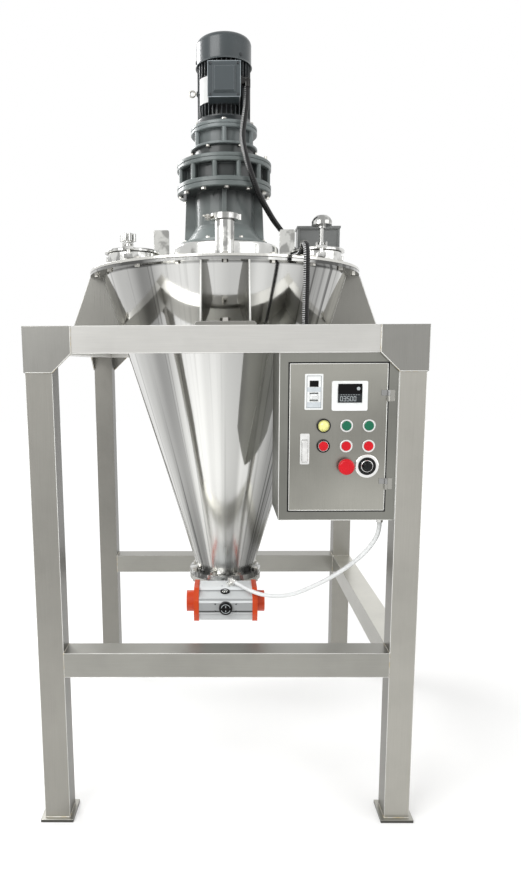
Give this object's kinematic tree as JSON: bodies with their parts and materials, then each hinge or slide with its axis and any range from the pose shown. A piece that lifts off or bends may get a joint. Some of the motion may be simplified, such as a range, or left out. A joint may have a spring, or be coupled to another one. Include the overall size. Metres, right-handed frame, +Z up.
{
  "type": "double screw mixer",
  "caption": "Conical powder mixer in a square tube frame: twin screws on a revolving arm inside, geared motor on the lid, butterfly valve below and a control cabinet.",
  "frame": {"origin": "on the floor, under the cone's axis, at the middle of the four feet", "axes": "+Z up along the cone's axis, -Y towards the side with the control cabinet, +X to the right"},
  "size_m": [1.216, 1.23, 2.617],
  "materials": {
    "frame_steel": "brushed stainless square tube with dressed welds",
    "cap_steel": "brushed stainless sheet",
    "cone_steel": "mirror-polished stainless sheet",
    "lid_steel": "polished stainless plate",
    "fitting_steel": "polished stainless fittings",
    "lug_steel": "brushed stainless plate",
    "fastener_steel": "bright stainless bolts and nuts",
    "gasket_rubber": "pale silicone sheet",
    "drive_paint": "dark grey-blue gloss enamel on castings",
    "fan_steel": "dark grey-blue enamel on pressed sheet",
    "rotor_steel": "ground steel shaft with a fan",
    "instrument_plastic": "white moulded plastic frames",
    "screw_steel": "ground and polished stainless screw",
    "valve_steel": "turned stainless valve parts",
    "actuator_aluminium": "satin anodised extrusion",
    "cap_paint": "orange-red enamel on die-cast caps",
    "cabinet_steel": "brushed stainless sheet",
    "hardware_steel": "plated hinges and latch",
    "black_plastic": "black moulded plastic",
    "bezel_metal": "plated bezels with dark contact blocks",
    "yellow_lens": "translucent yellow lens",
    "green_plastic": "green button cap",
    "red_plastic": "red button cap",
    "gear_plastic": "pale grey switchgear",
    "conduit_plastic": "black corrugated conduit",
    "hose_plastic": "pale air hose",
    "filter_steel": "dark grey box with a folded bright lip"
  },
  "bodies": {
    "root": {"legs": "frame_steel", "top_rails": "frame_steel", "lower_rails": "frame_steel", "corner_caps": "cap_steel", "foot_plates": "frame_steel", "cone_shell": "cone_steel", "support_lugs": "lug_steel", "lid_plate": "lid_steel", "gaskets": "gasket_rubber", "vessel_bolts": "fastener_steel", "manhole_necks": "fitting_steel", "charging_nozzle": "fitting_steel", "nozzle_cap": "fitting_steel", "nozzle_clamp": "fitting_steel", "lifting_lugs": "lug_steel", "filter_box": "filter_steel", "drive_plinth": "fitting_steel", "bell_stand": "drive_paint", "main_reducer_case": "drive_paint", "first_reducer_case": "drive_paint", "motor_frame": "drive_paint", "fan_cover": "fan_steel", "terminal_box": "drive_paint", "terminal_box_cover": "drive_paint", "drive_fasteners": "fastener_steel", "valve_body": "valve_steel", "actuator_body": "actuator_aluminium", "actuator_end_caps": "cap_paint", "cabinet_case": "cabinet_steel", "door_hinges": "hardware_steel", "switchgear": "gear_plastic", "motor_conduit": "conduit_plastic", "air_hose": "hose_plastic", "cable_fittings": "fastener_steel"},
    "arm": {"main_shaft": "screw_steel", "revolving_arm": "screw_steel"},
    "long_screw_body": {"long_screw": "screw_steel"},
    "short_screw_body": {"short_screw": "screw_steel"},
    "rotor": {"motor_rotor": "rotor_steel"},
    "left_cover": {"left_manhole_cover": "fitting_steel"},
    "right_cover": {"right_manhole_cover": "fitting_steel"},
    "left_screw": {"left_hand_screw": "fitting_steel"},
    "right_screw": {"right_hand_screw": "fitting_steel"},
    "wing_nut": {"nozzle_wing_nut": "fastener_steel"},
    "door": {"cabinet_door": "cabinet_steel", "door_hardware": "hardware_steel", "panel_instruments": "instrument_plastic", "button_bezels": "bezel_metal", "indicator_lamp": "yellow_lens"},
    "latch": {"latch_handle": "fitting_steel"},
    "toggle": {"breaker_toggle": "black_plastic"},
    "green_left": {"green_button_left": "green_plastic"},
    "green_right": {"green_button_right": "green_plastic"},
    "red_left": {"red_button_left": "red_plastic"},
    "red_middle": {"red_button_middle": "red_plastic"},
    "red_right": {"red_button_right": "red_plastic"},
    "mushroom": {"stop_mushroom": "red_plastic"},
    "selector": {"selector_knob": "black_plastic"},
    "valve": {"valve_disc": "valve_steel", "position_indicator": "black_plastic"}
  },
  "joints": [
    {"name": "arm_revolve", "type": "hinge", "parent": "root", "child": "arm", "pos_m": [0, 0, 1.75], "axis": [0, 0, 1], "continuous": true},
    {"name": "long_screw_spin", "type": "hinge", "parent": "arm", "child": "long_screw_body", "pos_m": [0.33879, 0, 1.736], "axis": [0.2908, 0, 0.9568], "continuous": true},
    {"name": "short_screw_spin", "type": "hinge", "parent": "arm", "child": "short_screw_body", "pos_m": [-0.33879, 0, 1.736], "axis": [-0.2908, 0, 0.9568], "continuous": true},
    {"name": "rotor_spin", "type": "hinge", "parent": "root", "child": "rotor", "pos_m": [0, 0, 2.45], "axis": [0, 0, 1], "continuous": true},
    {"name": "left_cover_hinge", "type": "hinge", "parent": "root", "child": "left_cover", "pos_m": [-0.325, -0.045, 1.869], "axis": [-1, 0, 0], "range_deg": [0, 95]},
    {"name": "right_cover_hinge", "type": "hinge", "parent": "root", "child": "right_cover", "pos_m": [0.325, -0.045, 1.869], "axis": [-1, 0, 0], "range_deg": [0, 95]},
    {"name": "left_hand_screw_turn", "type": "hinge", "parent": "left_cover", "child": "left_screw", "pos_m": [-0.325, -0.253, 1.869], "axis": [0, 0, 1], "continuous": true},
    {"name": "right_hand_screw_turn", "type": "hinge", "parent": "right_cover", "child": "right_screw", "pos_m": [0.325, -0.253, 1.869], "axis": [0, 0, 1], "continuous": true},
    {"name": "wing_nut_turn", "type": "hinge", "parent": "root", "child": "wing_nut", "pos_m": [-0.05575, -0.29, 1.958], "axis": [0, 1, 0], "continuous": true},
    {"name": "door_hinge", "type": "hinge", "parent": "root", "child": "door", "pos_m": [0.484, -0.596, 1.25], "axis": [0, 0, 1], "range_deg": [0, 105]},
    {"name": "latch_lift", "type": "hinge", "parent": "door", "child": "latch", "pos_m": [0.237, -0.599, 1.25], "axis": [-1, 0, 0], "range_deg": [0, 40]},
    {"name": "toggle_throw", "type": "hinge", "parent": "door", "child": "toggle", "pos_m": [0.262, -0.592, 1.383], "axis": [1, 0, 0], "range_deg": [0, 50]},
    {"name": "green_left_press", "type": "slide", "parent": "door", "child": "green_left", "axis": [0, 1, 0], "range_m": [0, 0.003], "stiffness_N_per_m": 400, "springref_m": -0.003},
    {"name": "green_right_press", "type": "slide", "parent": "door", "child": "green_right", "axis": [0, 1, 0], "range_m": [0, 0.003], "stiffness_N_per_m": 400, "springref_m": -0.003},
    {"name": "red_left_press", "type": "slide", "parent": "door", "child": "red_left", "axis": [0, 1, 0], "range_m": [0, 0.003], "stiffness_N_per_m": 400, "springref_m": -0.003},
    {"name": "red_middle_press", "type": "slide", "parent": "door", "child": "red_middle", "axis": [0, 1, 0], "range_m": [0, 0.003], "stiffness_N_per_m": 400, "springref_m": -0.003},
    {"name": "red_right_press", "type": "slide", "parent": "door", "child": "red_right", "axis": [0, 1, 0], "range_m": [0, 0.003], "stiffness_N_per_m": 400, "springref_m": -0.003},
    {"name": "stop_press", "type": "slide", "parent": "door", "child": "mushroom", "axis": [0, 1, 0], "range_m": [0, 0.005]},
    {"name": "selector_turn", "type": "hinge", "parent": "door", "child": "selector", "pos_m": [0.425, -0.592, 1.175], "axis": [0, 1, 0], "range_deg": [-135, 135]},
    {"name": "valve_turn", "type": "hinge", "parent": "root", "child": "valve", "pos_m": [0, 0, 0.619], "axis": [0, 1, 0], "range_deg": [0, 90]}
  ],
  "couplings": [
    {"joint": "long_screw_spin", "follows": "arm_revolve", "ratio": 26},
    {"joint": "short_screw_spin", "follows": "arm_revolve", "ratio": 26},
    {"joint": "rotor_spin", "follows": "arm_revolve", "ratio": 288}
  ]
}
